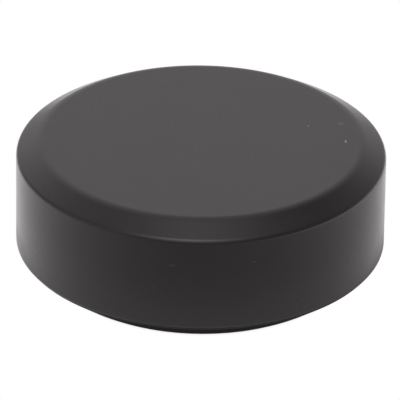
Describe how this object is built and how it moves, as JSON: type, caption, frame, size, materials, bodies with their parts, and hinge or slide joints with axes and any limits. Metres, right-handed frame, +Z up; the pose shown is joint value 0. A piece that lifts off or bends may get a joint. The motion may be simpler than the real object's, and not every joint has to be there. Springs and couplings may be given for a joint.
{
  "type": "dealer button",
  "caption": "Plain round table marker: a black moulded puck with a chamfered flat top, an inset chamfered base cover, a steel weight inside and a felt foot.",
  "frame": {"origin": "centre of the underside of the foot pad, on the surface the button rests on", "axes": "+Z up through the centre of the button, from the foot pad to the top face; X and Y lie in the resting plane and are interchangeable"},
  "size_m": [0.0762, 0.0762, 0.028],
  "materials": {
    "shell_plastic": "satin black, fine moulded texture",
    "base_plastic": "matt black, fine moulded texture",
    "weight_steel": "zinc plated, sheared and tumbled",
    "foam": "closed-cell foam",
    "screw_steel": "zinc plated",
    "adhesive": "translucent double-sided film",
    "felt": "dense black felt"
  },
  "bodies": {
    "root": {"top_shell": "shell_plastic", "base_cover": "base_plastic", "weight_disc": "weight_steel", "foam_pad": "foam", "cover_screws": "screw_steel", "foot_adhesive": "adhesive", "foot_pad": "felt"}
  },
  "joints": []
}
